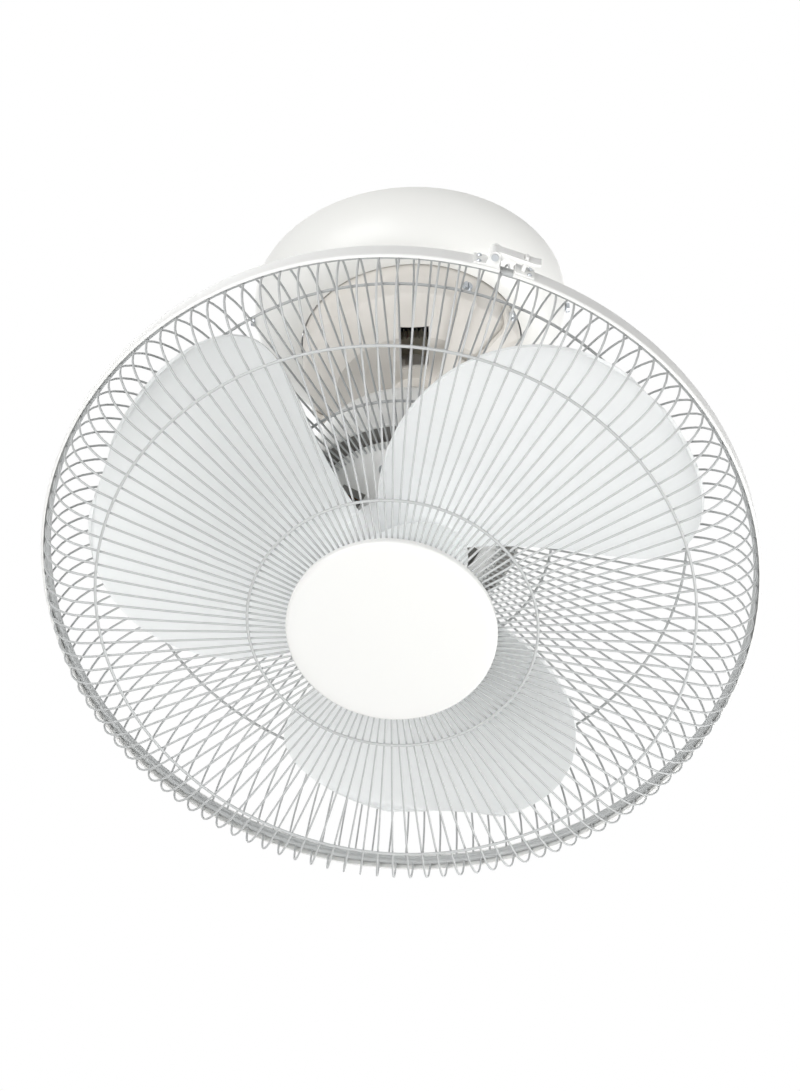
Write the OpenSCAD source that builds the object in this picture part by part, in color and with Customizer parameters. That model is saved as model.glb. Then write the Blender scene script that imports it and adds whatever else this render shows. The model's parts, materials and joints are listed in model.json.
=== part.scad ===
// Orbital ceiling fan: a caged three-blade fan whose tilted head nutates under a round ceiling canopy.
// The origin is the centre of the ceiling face, +Z is up, and the head leans toward -Y at rest.
// Head pieces are drawn in the cage's own frame: z = 0 is the cage's rim, +z points out of the front.

/* [Ceiling plate and canopy] */
// diameter of the steel plate that screws to the ceiling
plate_d = 196; // [180:1:204]
// thickness of the ceiling plate
plate_t = 2; // [1.5:0.1:3]
// circle of the four ceiling screws
ceiling_pcd = 164; // [156:1:170]
// hole for a ceiling screw
ceiling_hole_d = 5.5; // [4.5:0.1:6.5]
// hole for the supply cable
cable_hole_d = 30; // [20:1:36]
// length of the pillars under the plate
pillar_len = 34; // [33:1:40]
// pillar diameter
pillar_d = 10; // [9:0.5:12]
// circle that the pillars stand on
pillar_pcd = 124; // [120:1:130]
// canopy diameter at the ceiling
canopy_d = 230; // [222:1:240]
// canopy wall
canopy_wall = 1.5; // [1:0.1:2]
// gap between the canopy and the ceiling
canopy_gap = 1; // [0.5:0.5:3]

/* [Gear case] */
// outer diameter of the gear case
case_d = 158; // [152:1:164]
// wall of the gear case
case_wall = 3; // [2:0.5:4]
// height of the gear case under its lid
case_h = 51.5; // [48:0.5:56]
// height of the case's sloping shoulder
shoulder_h = 22; // [16:1:24]
// diameter of the case's flat floor
floor_d = 112; // [104:1:120]
// thickness of the lid
lid_t = 2.5; // [2:0.5:3]
// how far the spindle boss stands below the floor
boss_drop = 8; // [6:1:12]
// spindle boss diameter
boss_d = 32; // [30:1:36]
// width of the opening for the head's lead
lead_w = 20; // [16:1:28]
// reach of that opening from its inner to its outer end
lead_len = 36; // [24:1:38]

/* [Orbit drive] */
// gear module
gear_m = 1; // [0.9:0.05:1.1]
// teeth of the motor pinion
pinion_teeth = 20; // [18:1:24]
// teeth of the spindle gear
gear_teeth = 60; // [56:1:64]
// face width of the spindle gear
gear_w = 8; // [6:0.5:9]
// play between the gear flanks
backlash = 0.16; // [0.1:0.02:0.3]
// diameter of the small geared motor
orbit_motor_d = 50; // [44:1:52]
// height of the small geared motor
orbit_motor_h = 18; // [14:1:24]

/* [Crank and pivot] */
// ceiling face to the pivot centre
pivot_drop = 145; // [142:1:152]
// lean of the head from the vertical
tilt = 20; // [15:0.5:21]
// spindle diameter
spindle_d = 14; // [12:0.5:15]
// knuckle ball at the pivot
knuckle_d = 25; // [22:0.5:27]
// inclined crank pin
crank_pin_d = 12; // [10:0.5:13]
// wall of the plain bushes
bush_wall = 3; // [2:0.5:3.5]
// running clearance of shafts, on the radius
run_fit = 0.03; // [0.01:0.01:0.06]

/* [Fork] */
// direction of the fork arms round the vertical
fork_az = -29.5; // [-40:0.5:-20]
// inner radius of the fork where the guide pins run
fork_r = 30; // [29:0.5:32]
// thickness of the fork arms
fork_t = 3.2; // [2.5:0.1:3.6]
// half the angle between the two screws of an arm
fork_screw_a = 15.5; // [14:0.5:18]
// guide pin diameter
guide_pin_d = 7; // [6:0.5:8]

/* [Cage] */
// radius to the centre of the rim wires
rim_r = 220.6; // [216:0.1:226]
// wires in each half of the cage
cage_wires = 120; // [96:2:132]
// wire thickness
wire_d = 1.4; // [1.2:0.1:2]
// thickness of the support rings
ring_d = 1.8; // [1.4:0.1:2.6]
// thickness of the rim wires
rim_d = 3.5; // [3:0.1:4]
// radius of the large front support ring
front_outer_ring_r = 182.5; // [160:0.5:190]
// radius of the large rear support ring
rear_outer_ring_r = 180.5; // [160:0.5:181]
// how far the front wires stand in from the rim wire
front_wall_in = 0.6; // [0.4:0.1:3]
// radius of the front shoulder's bend
front_bend_r = 30; // [20:0.5:34]
// fall of the front wires from hub to shoulder, in degrees
front_fall = 5.8; // [3:0.1:7]
// radius where the front wires start
front_start_r = 56; // [52:1:60]
// height of the front wires over the rim plane where they start
front_start_up = 46.2; // [44:0.1:48]
// radius of the small front ring
front_ring_r = 88; // [80:1:110]
// how far the rear wires stand in from the rim wire
rear_wall_in = 1.6; // [0.6:0.1:4]
// radius of the rear shoulder's bend
rear_bend_r = 42; // [34:0.5:46]
// rise of the rear wires from hub to shoulder, in degrees
rear_fall = 8.9; // [6:0.1:10]
// radius where the rear wires start
rear_start_r = 60; // [56:1:63]
// depth of the rear wires behind the rim plane where they start
rear_start_down = 72.7; // [71:0.1:73]
// radius of the small rear ring
rear_ring_r = 95; // [85:1:110]
// width of the clamp hoop
hoop_w = 14.4; // [12:0.2:16]
// sheet thickness of the hoop
hoop_t = 1.1; // [0.8:0.1:1.4]
// place of the hoop latch round the cage
latch_az = 56.1; // [50:0.1:62]
// cap diameter
cap_d = 128; // [120:1:132]
// height of the cap's edge
cap_edge = 5; // [4:0.5:7]
// crown of the cap above its edge
cap_crown = 2.5; // [1:0.5:5]

/* [Blades] */
// number of blades
blade_count = 3; // [3:1:4]
// blade tip radius
blade_r = 195.5; // [190:0.5:198]
// angle from a blade's middle line to its front edge near the hub
lead_half = 40; // [34:1:46]
// angle from a blade's middle line to its rear edge near the hub
trail_half = 54; // [44:1:56]
// lean back of a blade's middle line, in degrees per metre
blade_sweep = 127; // [90:1:160]
// turn of the blade set at rest
blade_turn = 47; // [0:0.5:119]
// rise per degree at the root
pitch_root = 0.44; // [0.36:0.01:0.46]
// rise per degree at the tip
pitch_tip = 0.66; // [0.5:0.01:0.68]
// hollow of the blade between its edges
camber = 6; // [2:0.5:8]
// blade thickness at its middle
blade_t = 2.6; // [2:0.1:3]
// height of the blades' middle plane
blade_z = -15; // [-18:0.5:-14]
// hub diameter
hub_d = 84; // [80:1:90]
// hub height
hub_h = 47; // [45:1:52]
// wall of the hub
hub_wall = 2.5; // [2:0.1:3]

/* [Motor] */
// pivot centre to the cage's rim plane
pivot_to_rim = 180; // [178:1:184]
// motor shaft diameter
shaft_d = 10; // [8:0.5:11]
// stator stack diameter
stator_d = 104; // [98:1:106]
// stator stack height
stack_h = 24; // [20:1:26]
// rotor diameter
rotor_d = 54; // [50:0.5:56]
// air gap on the radius
air_gap = 0.4; // [0.3:0.05:0.6]
// height of the winding heads
coil_h = 9; // [7:0.5:9.5]
// slots in the stator
stator_slots = 16; // [12:4:24]
// diameter of the motor cover
cover_d = 150; // [144:1:156]
// wall of the motor cover
cover_wall = 2; // [1.5:0.1:2.5]
// air slots in the motor cover
cover_slots = 24; // [16:1:30]

/* [Hidden] */
$fn = 64;
seat = 0.05;
white = "#f3f3f0";
pearl = "#e9e9e6";
cast = "#c9c7c3";
steel = "#b4b6b8";
zinc = "#a8abad";
bronze = "#a9803f";
nylon = "#e4e0d4";
copper = "#b46a3c";

lid_top = -plate_t - pillar_len;
case_top = lid_top - lid_t;
case_bottom = case_top - case_h;
boss_bottom = case_bottom - boss_drop;
bush_flange = 1.5;
gear_hub_z = case_top - 25;
boss_top = gear_hub_z - 1 - bush_flange - seat;
centre_dist = gear_m * (pinion_teeth + gear_teeth) / 2 + 0.05;
bush_or = spindle_d / 2 + bush_wall;
guide_r = fork_r + fork_t / 2;
guide_slot = guide_pin_d / 2 + guide_r * (1 - cos(tilt)) / 2 + 0.4;
guide_drop = guide_r * sin(tilt);
cup_ir = knuckle_d / 2 + 4.5;
cup_or = cup_ir + 5;
cup_h = 10;
knuckle_h = 14;
pin_bush_or = crank_pin_d / 2 + bush_wall;
pin_bush_len = 9;
neck_h = 30;
neck_len = 36;
pivot_z = -pivot_to_rim;
bell_z = pivot_z + neck_h;
bell_t = 4.5;
bell_r = stator_d / 2 + 0.5;
bell_wall = 3.5;
rear_web_z = pivot_z + 47;
web_t = 4.5;
stack_z = rear_web_z + web_t + coil_h + 3.5;
front_web_z = stack_z + stack_h + coil_h + 2;
web_r = 63;
bolt_r = stator_d / 2 + 4.5;
bolt_d = 4;
cover_r = cover_d / 2;
rim_gap = rim_d + 0.1;
rim_mid = -5.25;
front_rim = [rim_r, rim_mid + rim_gap / 2];
rear_rim = [rim_r, rim_mid - rim_gap / 2];
hoop_r = rim_r + rim_d / 2 + 0.15;
shield_z = front_web_z;

function dir(a) = [cos(a), sin(a)];
function tangent_a(rim, c, r, s) = let(d = rim - c) atan2(d[1], d[0]) + s * acos(r / norm(d));
function arc_pts(c, r, a0, a1, n) = [for (i = [0 : n]) c + r * dir(a0 + (a1 - a0) * i / n)];
function face_z(r, c, cr, a) = let(p = c + cr * dir(a)) p[1] + (p[0] - r) * tan(90 - a);
// centre of a shoulder's bend, where a line from r0, z0 meets it at the angle a
function bend_centre(out, cr, a, r0, z0) = [out, z0 - (out + cr * cos(a) - r0) * tan(90 - a) - cr * sin(a)];
front_a = 90 - front_fall;
rear_a = rear_fall - 90;
front_bend = bend_centre(rim_r - front_wall_in - front_bend_r, front_bend_r, front_a,
  front_start_r, front_start_up);
rear_bend = bend_centre(rim_r - rear_wall_in - rear_bend_r, rear_bend_r, rear_a,
  rear_start_r, -rear_start_down);
function front_z(r) = face_z(r, front_bend, front_bend_r, front_a);
function rear_z(r) = face_z(r, rear_bend, rear_bend_r, rear_a);
rear_plate_z = rear_z(rear_start_r) - wire_d / 2 / cos(rear_fall) - seat;
guard_plate_t = 1.2;
guard_plate_z = rear_plate_z - guard_plate_t;
front_ring_z = front_z(front_start_r + 3) - (wire_d + ring_d) / 2 / cos(front_fall) - seat;
hub_plate_top = front_ring_z - ring_d / 2 - seat;
cap_z = front_z(front_start_r) + wire_d / 2 + seat;

module in_head() {
  translate([0, 0, -pivot_drop]) rotate([-tilt, 0, 0]) rotate([180, 0, 0])
    translate([0, 0, pivot_to_rim]) children();
}
module ring_of(n, r, a0 = 0) {
  for (i = [0 : n - 1]) rotate([0, 0, a0 + i * 360 / n]) translate([r, 0, 0]) children();
}
module torus(r, z, d) {
  translate([0, 0, z]) rotate_extrude($fn = 128) translate([r, 0]) circle(d = d, $fn = 24);
}
module tube(ro, ri, h) {
  difference() {
    cylinder(r = ro, h = h);
    translate([0, 0, -1]) cylinder(r = ri, h = h + 2);
  }
}
// a pan-head screw: the shank runs up from z = 0 and the head sits on top of it
module screw(d, len) {
  cylinder(d = d, h = len + 0.5, $fn = 24);
  translate([0, 0, len]) difference() {
    cylinder(d1 = 2 * d, d2 = 1.7 * d, h = 0.6 * d, $fn = 32);
    translate([-d, -d / 8, 0.35 * d]) cube([2 * d, d / 4, d]);
  }
}
module hex_nut(af, bore, h) {
  difference() {
    cylinder(d = af / cos(30), h = h, $fn = 6);
    translate([0, 0, -1]) cylinder(d = bore, h = h + 2, $fn = 32);
  }
}

// ---- ceiling mount ----
canopy_screw_a = 16.5;
canopy_screw_d = 4;
canopy_screw_z = -9;
canopy_tab = 15;
canopy_h = -case_top + 4 - canopy_gap;
canopy_low_r = case_d / 2 + 1.2;

module ceiling_plate() {
  color(steel) difference() {
    union() {
      translate([0, 0, -plate_t]) cylinder(d = plate_d, h = plate_t, $fn = 128);
      ring_of(2, plate_d / 2 - plate_t - 1, canopy_screw_a)
        translate([0, -8, -canopy_tab]) cube([plate_t, 16, canopy_tab - plate_t / 2]);
    }
    translate([0, 0, -plate_t - 1]) cylinder(d = cable_hole_d, h = plate_t + 2);
    ring_of(4, ceiling_pcd / 2, 0) translate([0, 0, -plate_t - 1])
      cylinder(d = ceiling_hole_d, h = plate_t + 2, $fn = 32);
    ring_of(2, plate_d / 2 - 10, canopy_screw_a) translate([0, 0, canopy_screw_z])
      rotate([0, 90, 0]) cylinder(d = canopy_screw_d + 2 * seat, h = 12, $fn = 24);
  }
}
module pillars() {
  color(zinc) ring_of(4, pillar_pcd / 2, 45) translate([0, 0, lid_top]) difference() {
    cylinder(d = pillar_d, h = pillar_len, $fn = 6);
    translate([0, 0, -1]) cylinder(d = 4 + 2 * seat, h = 14, $fn = 24);
  }
}
module pillar_screws() {
  color(zinc) ring_of(4, pillar_pcd / 2, 45) translate([0, 0, case_top]) rotate([180, 0, 0])
    translate([0, 0, -12]) screw(4, 12);
}
// a quarter-round fall from radius r0 at the ceiling to radius r1 at depth h
function dome(r0, r1, h, n) = [for (i = [0 : n], a = [90 * i / n]) [r1 + (r0 - r1) * cos(a), -h * sin(a)]];
module canopy() {
  n = 14;
  outer = dome(canopy_d / 2, canopy_low_r, canopy_h, n);
  inner = dome(canopy_d / 2 - canopy_wall, canopy_low_r, canopy_h - canopy_wall, n);
  color(white) translate([0, 0, -canopy_gap]) difference() {
    rotate_extrude($fn = 128) polygon(concat(outer, [for (i = [n : -1 : 0]) inner[i]]));
    ring_of(2, canopy_d / 2 - 16, canopy_screw_a) translate([0, 0, canopy_screw_z + canopy_gap])
      rotate([0, 90, 0]) cylinder(d = canopy_screw_d + 0.4, h = 24, $fn = 24);
  }
}
module canopy_screws() {
  // the head's upper edge touches the canopy first, because the canopy is wider there
  edge_depth = -canopy_screw_z - canopy_gap - canopy_screw_d;
  r = canopy_low_r + (canopy_d / 2 - canopy_low_r) * cos(asin(edge_depth / canopy_h)) + seat;
  color(zinc) ring_of(2, r, canopy_screw_a) translate([0, 0, canopy_screw_z]) rotate([0, 90, 0])
    translate([0, 0, -21]) screw(canopy_screw_d, 21);
}

// ---- gear case ----
module case_lid() {
  color(steel) difference() {
    translate([0, 0, case_top]) cylinder(d = case_d - 2, h = lid_t, $fn = 128);
    translate([-centre_dist, 0, case_top - 1]) cylinder(d = 14, h = lid_t + 2);
    translate([38, 0, case_top - 1]) cylinder(d = 12, h = lid_t + 2);
    ring_of(4, pillar_pcd / 2, 45) translate([0, 0, case_top - 1])
      cylinder(d = 4 + 2 * seat, h = lid_t + 2, $fn = 24);
    ring_of(4, case_post_r, case_post_a) translate([0, 0, case_top - 1])
      cylinder(d = 4 + 2 * seat, h = lid_t + 2, $fn = 24);
    for (s = [-1, 1]) translate([-centre_dist, s * orbit_ear_r, case_top - 1])
      cylinder(d = 3 + 2 * seat, h = lid_t + 2, $fn = 24);
  }
}
case_post_r = case_d / 2 - case_wall - 3;
case_post_a = 20;
module case_outline(inset, floor_in) {
  r = case_d / 2 - inset;
  polygon([[0, case_top + (inset > 0 ? 1 : 0)], [r, case_top + (inset > 0 ? 1 : 0)],
    [r, case_bottom + shoulder_h], each arc_pts([r - 6, case_bottom + shoulder_h], 6, 0, -30, 4),
    [floor_d / 2 - inset * 0.6, case_bottom + floor_in], [0, case_bottom + floor_in]]);
}
module gear_case() {
  color(cast) difference() {
    union() {
      difference() {
        rotate_extrude($fn = 128) case_outline(0, 0);
        rotate_extrude($fn = 128) case_outline(case_wall, case_wall + 1);
      }
      ring_of(4, case_post_r, case_post_a) intersection() {
        translate([0, 0, case_bottom + shoulder_h]) cylinder(r = 5, h = case_h - shoulder_h, $fn = 32);
        translate([-8, -8, case_bottom]) cube([8 + case_wall + 1, 16, case_h]);
      }
      translate([0, 0, boss_bottom]) cylinder(d = boss_d, h = boss_top - boss_bottom);
      for (i = [0 : 5]) rotate([0, 0, i * 60 + 30]) translate([boss_d / 2 - 1, -1.5, case_bottom + 1])
        cube([floor_d / 2 - boss_d / 2 - 2, 3, 9]);
    }
    translate([0, 0, boss_bottom - 1]) cylinder(r = bush_or + seat, h = boss_top - boss_bottom + 2);
    ring_of(4, case_post_r, case_post_a) translate([0, 0, case_top - 14])
      cylinder(d = 4 + 2 * seat, h = 20, $fn = 24);
    for (a = fork_screw_places) rotate([0, 0, a]) translate([case_d / 2 - 12, 0, fork_screw_z])
      rotate([0, 90, 0]) cylinder(d = 4 + 2 * seat, h = 20, $fn = 24);
    rotate([0, 0, lead_az]) translate([0, 0, case_bottom - 1]) linear_extrude(12) {
      translate([lead_in, -lead_w / 2]) square([lead_len, lead_w]);
    }
  }
}
lead_az = -72;
lead_in = 25;
module case_screws() {
  color(zinc) ring_of(4, case_post_r, case_post_a) translate([0, 0, lid_top - 15]) screw(4, 15);
}
module spindle_bush() {
  color(bronze) difference() {
    union() {
      translate([0, 0, boss_bottom + 1]) cylinder(r = bush_or, h = boss_top - boss_bottom - 1);
      translate([0, 0, boss_top]) cylinder(r = bush_or + 3, h = bush_flange);
    }
    translate([0, 0, boss_bottom]) cylinder(r = spindle_d / 2 + run_fit, h = boss_top - boss_bottom + 4);
  }
}

// ---- what sits on the lid ----
orbit_ear_r = orbit_motor_d / 2 + 4;
module orbit_motor() {
  color(zinc) translate([-centre_dist, 0, lid_top]) difference() {
    union() {
      cylinder(d = orbit_motor_d, h = orbit_motor_h);
      translate([0, 0, orbit_motor_h]) cylinder(d = orbit_motor_d * 0.8, h = 1.5);
      for (s = [-1, 1]) hull() {
        translate([0, s * orbit_ear_r, 0]) cylinder(r = 4, h = 1, $fn = 32);
        translate([0, s * (orbit_motor_d / 2 - 8), 0]) cylinder(r = 9, h = 1, $fn = 32);
      }
    }
    translate([0, 0, -1]) cylinder(d = 6 + 2 * run_fit, h = 8, $fn = 32);
    for (s = [-1, 1]) translate([0, s * orbit_ear_r, -1]) cylinder(d = 3 + 2 * seat, h = 4, $fn = 24);
  }
}
module orbit_motor_screws() {
  color(zinc) for (s = [-1, 1]) translate([-centre_dist, s * orbit_ear_r, lid_top - 4]) screw(3, 5);
}
module terminal_block() {
  color(nylon) translate([18, 14, lid_top]) difference() {
    cube([30, 16, 14]);
    for (i = [0 : 2]) translate([5 + i * 10, 8, 0]) {
      translate([0, 0, 6]) cylinder(d = 5, h = 10, $fn = 24);
      translate([0, -10, 4.5]) rotate([-90, 0, 0]) cylinder(d = 4, h = 20, $fn = 24);
    }
    for (i = [0 : 1]) translate([10 + i * 10 - 0.75, -1, 9]) cube([1.5, 18, 6]);
  }
}
module terminal_screws() {
  color(bronze) for (i = [0 : 2]) translate([23 + i * 10, 22, lid_top + 6 + seat]) difference() {
    cylinder(d = 4.8, h = 6, $fn = 24);
    translate([-3, -0.4, 5]) cube([6, 0.8, 2]);
  }
}
module run_capacitor() {
  color(white) translate([14, -38, lid_top]) difference() {
    cube([38, 17, 25]);
    translate([-1, -1, 22]) rotate([45, 0, 0]) translate([0, -6, 0]) cube([40, 6, 6]);
  }
}

// ---- orbit gears ----
function inv(a) = tan(a) * 180 / PI - a;
function flank(r, rb, half) = half - (r > rb ? inv(acos(rb / r)) : 0);
// involute spur gear, 20 degrees, with one tooth on the +X axis
module spur(m, z, h, play) {
  rp = m * z / 2;
  rb = rp * cos(20);
  rt = rp + m;
  rr = rp - 1.25 * m;
  half = 90 / z - play / (2 * rp) * 90 / PI + inv(20);
  radii = [for (i = [0 : 5]) let(r0 = max(rr, rb)) r0 + (rt - r0) * i / 5];
  up = concat([rr], radii);
  linear_extrude(h) polygon([for (t = [0 : z - 1]) each concat(
    [for (r = up) r * dir(t * 360 / z - flank(r, rb, half))],
    [for (i = [len(up) - 1 : -1 : 0]) up[i] * dir(t * 360 / z + flank(up[i], rb, half))])]);
}
module orbit_gear() {
  root = gear_m * gear_teeth / 2 - 1.25 * gear_m;
  color(nylon) translate([0, 0, gear_hub_z]) difference() {
    union() {
      difference() {
        spur(gear_m, gear_teeth, gear_w, backlash);
        translate([0, 0, 2.5]) tube(root - 3.5, 13, gear_w);
      }
      cylinder(r = 12, h = gear_w + 8);
      for (i = [0 : 5]) rotate([0, 0, i * 60]) translate([11, -1.2, 0.5]) cube([root - 13, 2.4, gear_w - 1]);
    }
    translate([0, 0, -1]) cylinder(r = spindle_d / 2 + seat, h = gear_w + 12);
    translate([0, 0, gear_w + 4]) rotate([90, 0, 30])
      cylinder(d = 3 + 2 * seat, h = 40, center = true, $fn = 24);
  }
}
module gear_pin() {
  color(steel) translate([0, 0, gear_hub_z + gear_w + 4]) rotate([90, 0, 30])
    cylinder(d = 3, h = 23, center = true, $fn = 24);
}
module thrust_washer() {
  color(nylon) translate([0, 0, gear_hub_z - 1 + seat / 2]) tube(bush_or + 3, spindle_d / 2 + 0.1, 1 - seat);
}
module orbit_pinion() {
  color(nylon) translate([-centre_dist, 0, gear_hub_z - 1]) difference() {
    rotate([0, 0, 180 / pinion_teeth]) spur(gear_m, pinion_teeth, gear_w + 2, backlash);
    translate([0, 0, -1]) cylinder(d = 6 + 2 * seat, h = gear_w + 4, $fn = 32);
  }
}
module pinion_shaft() {
  color(steel) translate([-centre_dist, 0, gear_hub_z - 2])
    cylinder(d = 6, h = lid_top + 6 - gear_hub_z + 2, $fn = 32);
}

// ---- crank: vertical spindle, knuckle ball and inclined pin in one piece ----
module crank() {
  color(steel) {
    difference() {
      translate([0, 0, -pivot_drop]) cylinder(d = spindle_d, h = pivot_drop + gear_hub_z + gear_w + 9);
      translate([0, 0, gear_hub_z + gear_w + 4]) rotate([90, 0, 30])
        cylinder(d = 3 + 2 * seat, h = 40, center = true, $fn = 24);
    }
    translate([0, 0, -pivot_drop]) sphere(d = knuckle_d);
    in_head() translate([0, 0, pivot_z]) cylinder(d = crank_pin_d, h = neck_len + 10);
  }
}
module crank_washer() {
  color(steel) in_head() translate([0, 0, pivot_z + neck_len + bush_flange + seat])
    tube(crank_pin_d / 2 + 5, crank_pin_d / 2 + seat, 1.2);
}
module crank_nut() {
  color(zinc) in_head() translate([0, 0, pivot_z + neck_len + bush_flange + 1.3 + seat])
    hex_nut(crank_pin_d * 1.5, crank_pin_d + 2 * seat, 5.5);
}

// ---- fork arms that stop the head from turning with the crank ----
fork_screw_z = case_bottom + shoulder_h + 8;
fork_screw_places = [for (s = [0, 180], k = [-1, 1]) fork_az + s + k * fork_screw_a];
fork_low = -pivot_drop - guide_drop - guide_pin_d / 2;
module fork_profile() {
  r = case_d / 2 + 0.2;
  shoulder = case_bottom + shoulder_h;
  knee = [floor_d / 2 - 4, case_bottom - 2.5];
  chain = [[r, fork_screw_z + 7], [r, shoulder - 1.7], [r - 0.5, shoulder - 3.4],
    [floor_d / 2 + 0.5, case_bottom - 0.6], knee, [fork_r, case_bottom - 24], [fork_r, fork_low]];
  polygon(concat(chain, [for (i = [len(chain) - 1 : -1 : 0]) chain[i] + [fork_t, -fork_t * 0.6]]));
}
module fork_arm(side) {
  foot_r = case_d / 2 + 3;
  pad = foot_r * dir(fork_screw_a);
  slot_top = -pivot_drop + guide_drop + guide_pin_d / 2 + 1;
  rotate([0, 0, fork_az + side]) difference() {
    intersection() {
      rotate([0, 0, -26]) rotate_extrude(angle = 52) fork_profile();
      translate([0, 0, fork_low - 10]) linear_extrude(pivot_drop) {
        for (s = [-1, 1]) {
          a = atan2(pad[1] - 6, pad[0] - fork_r - 8);
          translate([fork_r + 8, s * 6]) rotate(s * a) translate([-14, -5])
            square([norm(pad) - fork_r + 8, 10]);
          translate([pad[0], s * pad[1]]) circle(r = 7.5, $fn = 32);
        }
        translate([fork_r - 6, -12]) square([26, 24]);
      }
    }
    translate([fork_r - 8, 0, 0]) rotate([90, 0, 90]) linear_extrude(16)
      polygon(concat([[guide_slot, fork_low - 5]], arc_pts([0, slot_top], guide_slot, 0, 180, 10),
        [[-guide_slot, fork_low - 5]]));
    for (s = [-1, 1]) rotate([0, 0, s * fork_screw_a]) translate([case_d / 2 - 8, 0, fork_screw_z])
      rotate([0, 90, 0]) cylinder(d = 4.5, h = 20, $fn = 24);
  }
}
module fork_arm_right() { color(zinc) fork_arm(0); }
module fork_arm_left() { color(zinc) fork_arm(180); }
module fork_screws() {
  color(steel) for (a = fork_screw_places) rotate([0, 0, a])
    translate([case_d / 2 + 0.2 + fork_t + seat - 11, 0, fork_screw_z]) rotate([0, 90, 0]) screw(4, 11);
}

// ---- head: neck casting, bushes and guide pins ----
module head_neck() {
  s = bell_r - bell_wall;
  color(cast) in_head() difference() {
    rotate_extrude($fn = 96) polygon(concat(
      [[pin_bush_or + seat, pivot_z + knuckle_h], [cup_ir, pivot_z + knuckle_h], [cup_ir, pivot_z - cup_h],
       [cup_or - 1, pivot_z - cup_h], [cup_or, pivot_z - cup_h + 1], [cup_or, bell_z - 1],
       [cup_or + 1, bell_z]],
      arc_pts([bell_r - 6, bell_z + 6], 6, 270, 360, 6),
      [[bell_r, rear_web_z - 4], [web_r, rear_web_z - 4], [web_r, rear_web_z], [s, rear_web_z],
       [s, bell_z + bell_t + 3], [s - 3, bell_z + bell_t], [pin_bush_or + 6, bell_z + bell_t],
       [pin_bush_or + 6, pivot_z + neck_len], [pin_bush_or + seat, pivot_z + neck_len]]));
    translate([0, 0, pivot_z]) rotate([0, 90, -fork_az])
      cylinder(d = guide_pin_d + 2 * seat, h = 2 * cup_or + 10, center = true, $fn = 32);
    ring_of(4, bolt_r, 45) translate([0, 0, rear_web_z - 10])
      cylinder(d = bolt_d + 2 * seat, h = 20, $fn = 24);
    ring_of(6, (bell_r + cup_or) / 2, 0) translate([0, 0, bell_z - 1])
      cylinder(r = 5, h = bell_t + 2, $fn = 32);
  }
}
module guide_pins() {
  len = guide_r + fork_t / 2 + 2.5 - cup_ir;
  color(steel) in_head() for (s = [0, 180]) translate([0, 0, pivot_z]) rotate([0, 0, -fork_az + s])
    rotate([0, 90, 0]) translate([0, 0, cup_ir + 0.3]) {
      cylinder(d = guide_pin_d, h = len);
      translate([0, 0, len]) cylinder(d1 = guide_pin_d, d2 = guide_pin_d - 2, h = 1);
    }
}
module head_bushes() {
  color(bronze) in_head() difference() {
    union() {
      translate([0, 0, pivot_z + knuckle_h]) cylinder(r = pin_bush_or, h = pin_bush_len);
      translate([0, 0, pivot_z + knuckle_h - bush_flange]) cylinder(r = pin_bush_or + 2.5, h = bush_flange);
      translate([0, 0, pivot_z + neck_len - pin_bush_len]) cylinder(r = pin_bush_or, h = pin_bush_len);
      translate([0, 0, pivot_z + neck_len]) cylinder(r = pin_bush_or + 2.5, h = bush_flange);
    }
    translate([0, 0, pivot_z]) cylinder(r = crank_pin_d / 2 + run_fit, h = neck_len + 10);
  }
}

// ---- motor ----
module shield_skirt(z, up) {
  // the seat that holds one end of the stator stack
  rs = stator_d / 2;
  rotate_extrude($fn = 96) polygon([[rs - 2.5, z], [rs + 2.2, z], [rs + 2.2, up], [rs + seat, up],
    [rs + seat, up - sign(up - z) * 4], [rs - 2.5, up - sign(up - z) * 4]]);
}
module motor_rear_shield() {
  color(cast) in_head() difference() {
    union() {
      translate([0, 0, rear_web_z]) cylinder(r = web_r, h = web_t, $fn = 96);
      shield_skirt(rear_web_z + web_t - 1, stack_z + 4);
      translate([0, 0, rear_web_z]) cylinder(r = 12, h = 14);
    }
    translate([0, 0, rear_web_z + 1]) cylinder(r = shaft_d / 2 + 3 + seat, h = 20);
    ring_of(4, bolt_r, 45) translate([0, 0, rear_web_z - 1])
      cylinder(d = bolt_d + 2 * seat, h = web_t + 2, $fn = 24);
    for (i = [0 : 7]) rotate([0, 0, i * 45]) translate([22, -4, rear_web_z - 1]) cube([20, 8, web_t + 2]);
  }
}
module motor_front_shield() {
  rim = cover_r - cover_wall - seat;
  color(cast) in_head() difference() {
    union() {
      translate([0, 0, shield_z]) cylinder(r = rim, h = 4, $fn = 128);
      translate([0, 0, shield_z - 6]) tube(rim, rim - 3, 7);
      shield_skirt(shield_z + 1, stack_z + stack_h - 4);
      translate([0, 0, shield_z - 8]) cylinder(r = 12, h = 20);
      ring_of(4, 45, 0) translate([0, 0, shield_z])
        cylinder(r = 6, h = guard_plate_z - shield_z - seat, $fn = 32);
    }
    translate([0, 0, shield_z - 9]) cylinder(r = shaft_d / 2 + 3 + seat, h = 22);
    ring_of(4, bolt_r, 45) translate([0, 0, shield_z - 20]) cylinder(d = bolt_d + 2 * seat, h = 23, $fn = 24);
    ring_of(4, 45, 0) translate([0, 0, shield_z - 1]) cylinder(d = 4 + 2 * seat, h = 20, $fn = 24);
    ring_of(3, rim - 5, 60) translate([0, 0, shield_z - 2.5]) rotate([0, 90, 0])
      cylinder(d = 3 + 2 * seat, h = 12, $fn = 24);
    for (i = [0 : 23]) if (i % 6 != 0) rotate([0, 0, i * 15]) translate([20, -1.6, shield_z - 1])
      cube([26, 3.2, 6]);
  }
}
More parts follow.
